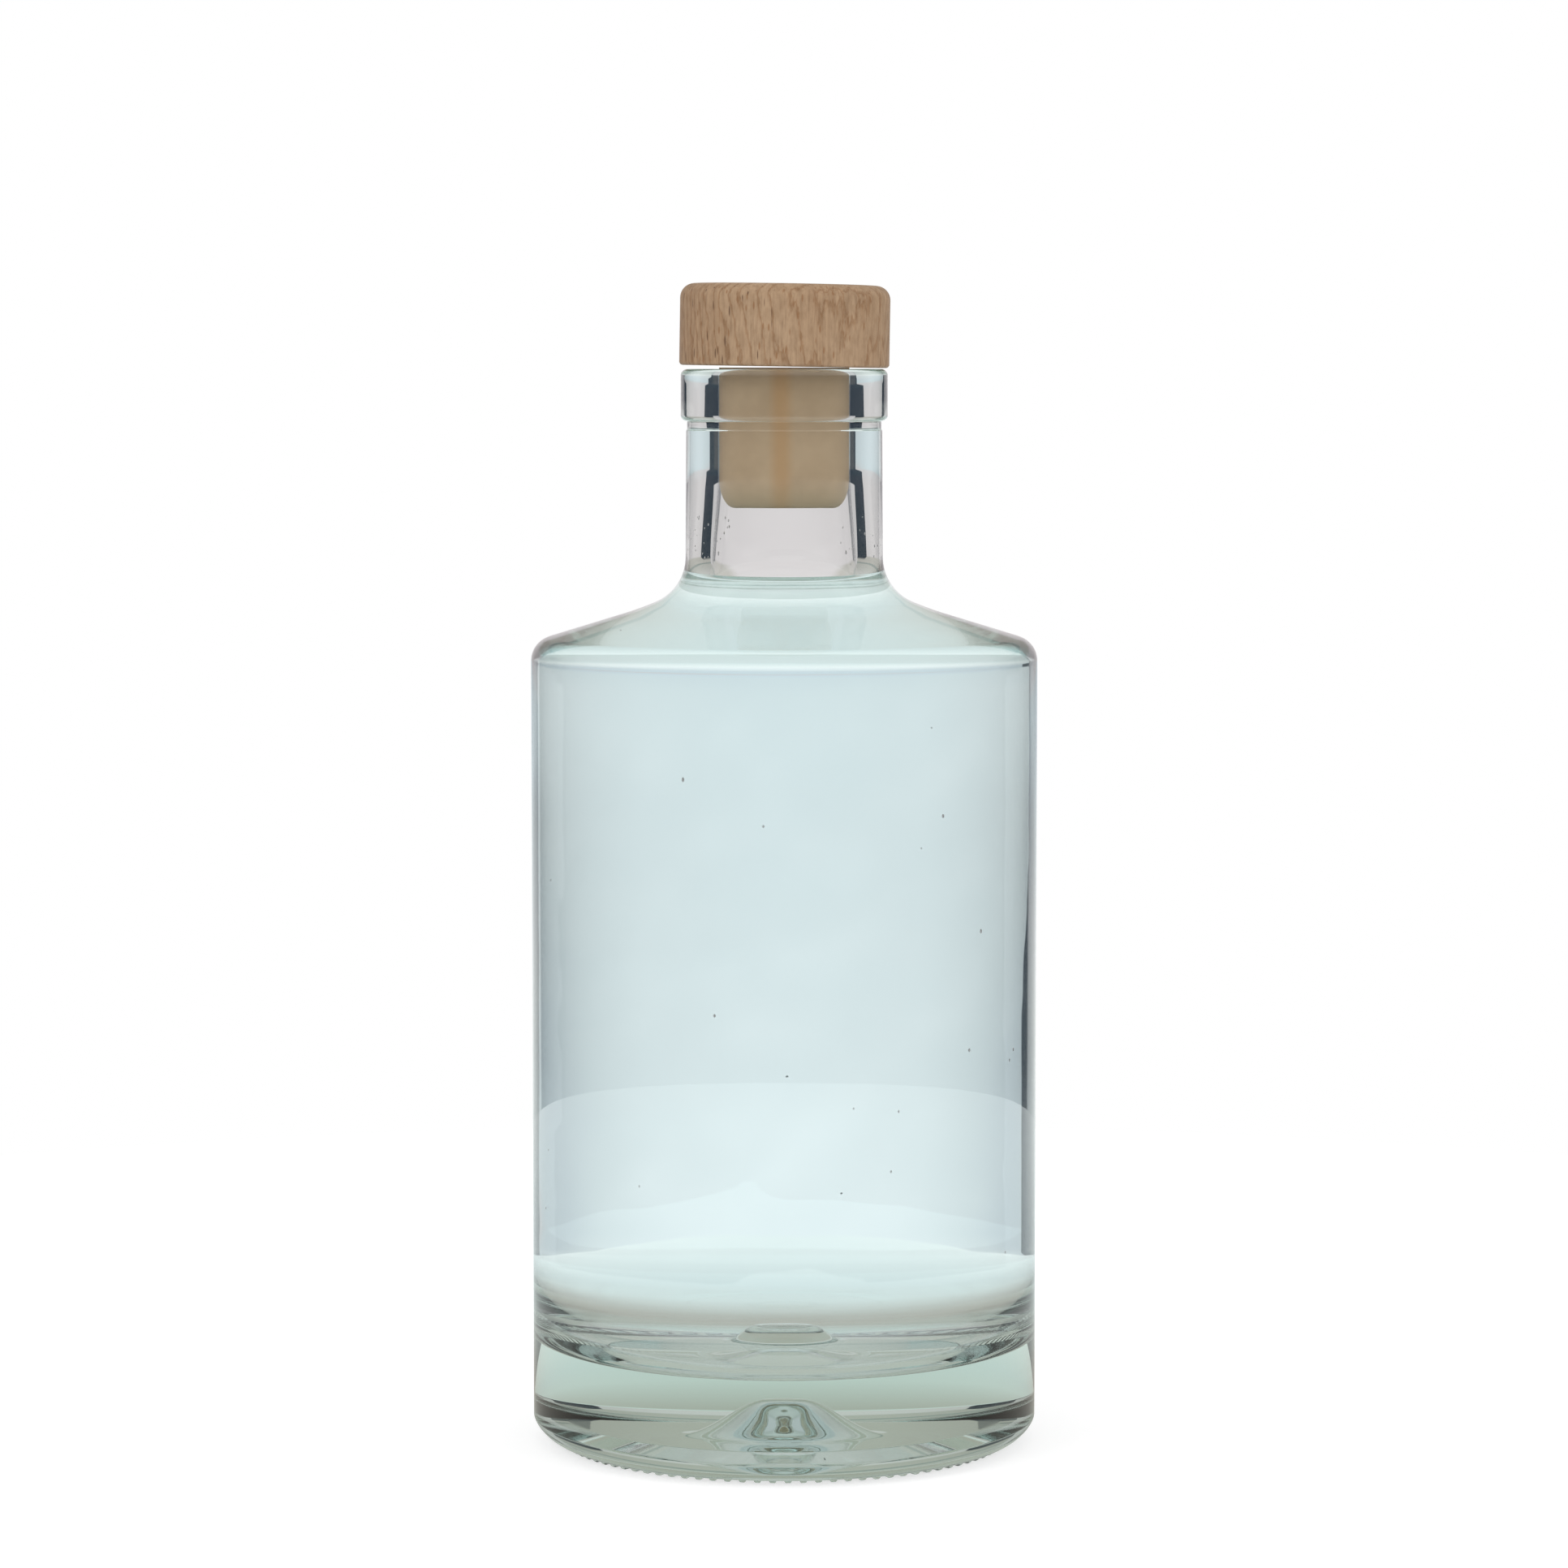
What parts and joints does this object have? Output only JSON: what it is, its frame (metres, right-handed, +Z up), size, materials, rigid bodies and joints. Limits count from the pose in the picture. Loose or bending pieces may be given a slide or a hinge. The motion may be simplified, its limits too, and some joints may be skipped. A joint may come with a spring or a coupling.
{
  "type": "stoppered glass bottle",
  "caption": "Round clear glass bottle with a heavy base and straight neck, filled with clear liquid and closed by a wooden-headed stopper.",
  "frame": {"origin": "on the bottle's axis, at the height of the surface that it stands on", "axes": "+Z up along the bottle's axis, from the base to the stopper; -Y faces the viewer; +X to the viewer's right"},
  "size_m": [0.071, 0.071, 0.1629],
  "materials": {
    "clear_glass": "fire-polished clear glass with a faint blue-green tint",
    "clear_liquid": "clear, still liquid with a level surface",
    "beech": "turned and sanded beech, raw, with short dark flecks",
    "synthetic_cork": "smooth cream foamed plastic, matt"
  },
  "bodies": {
    "bottle": {"glass_bottle": "clear_glass", "liquid": "clear_liquid"},
    "stopper": {"stopper_head": "beech", "stopper_plug": "synthetic_cork"}
  },
  "joints": [
    {"name": "stopper_pull", "type": "slide", "parent": "bottle", "child": "stopper", "axis": [0, 0, 1], "range_m": [0, 0.032]}
  ]
}
